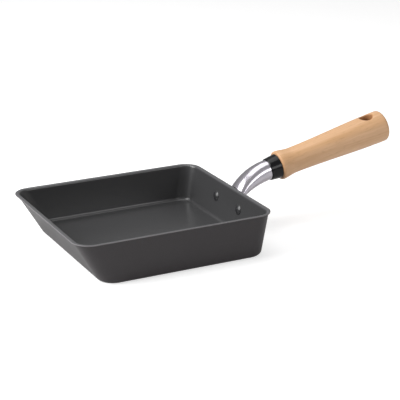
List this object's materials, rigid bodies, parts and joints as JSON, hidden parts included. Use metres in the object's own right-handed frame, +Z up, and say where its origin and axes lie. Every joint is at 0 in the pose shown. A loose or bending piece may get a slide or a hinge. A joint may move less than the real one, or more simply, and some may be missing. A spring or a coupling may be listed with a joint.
{
  "type": "tamagoyaki pan",
  "caption": "Rectangular rolled-omelette pan with one low sloping end wall, a riveted curved metal neck, a dark heat-break collar and a turned wooden grip with a hanging hole.",
  "frame": {"origin": "middle of the flat floor's length and width, on the resting plane", "axes": "+X towards the handle, +Y across the pan to the cook's left when the handle points at the cook, +Z up"},
  "size_m": [0.3418, 0.16, 0.0889],
  "materials": {
    "coated_aluminium": "black non-stick film inside, satin, and dark heat-proof paint outside, duller",
    "coated_rivet": "black non-stick film, satin",
    "polished_steel": "mirror polish",
    "plain_steel": "plain zinc grey",
    "black_phenolic": "black, satin",
    "beech": "clear satin lacquer over light tan beech"
  },
  "bodies": {
    "root": {"pan_body": "coated_aluminium", "rivet_left": "coated_rivet", "rivet_right": "coated_rivet", "handle_neck": "polished_steel", "neck_plug": "plain_steel", "hanger_bolt": "plain_steel", "collar": "black_phenolic", "grip": "beech"}
  },
  "joints": []
}
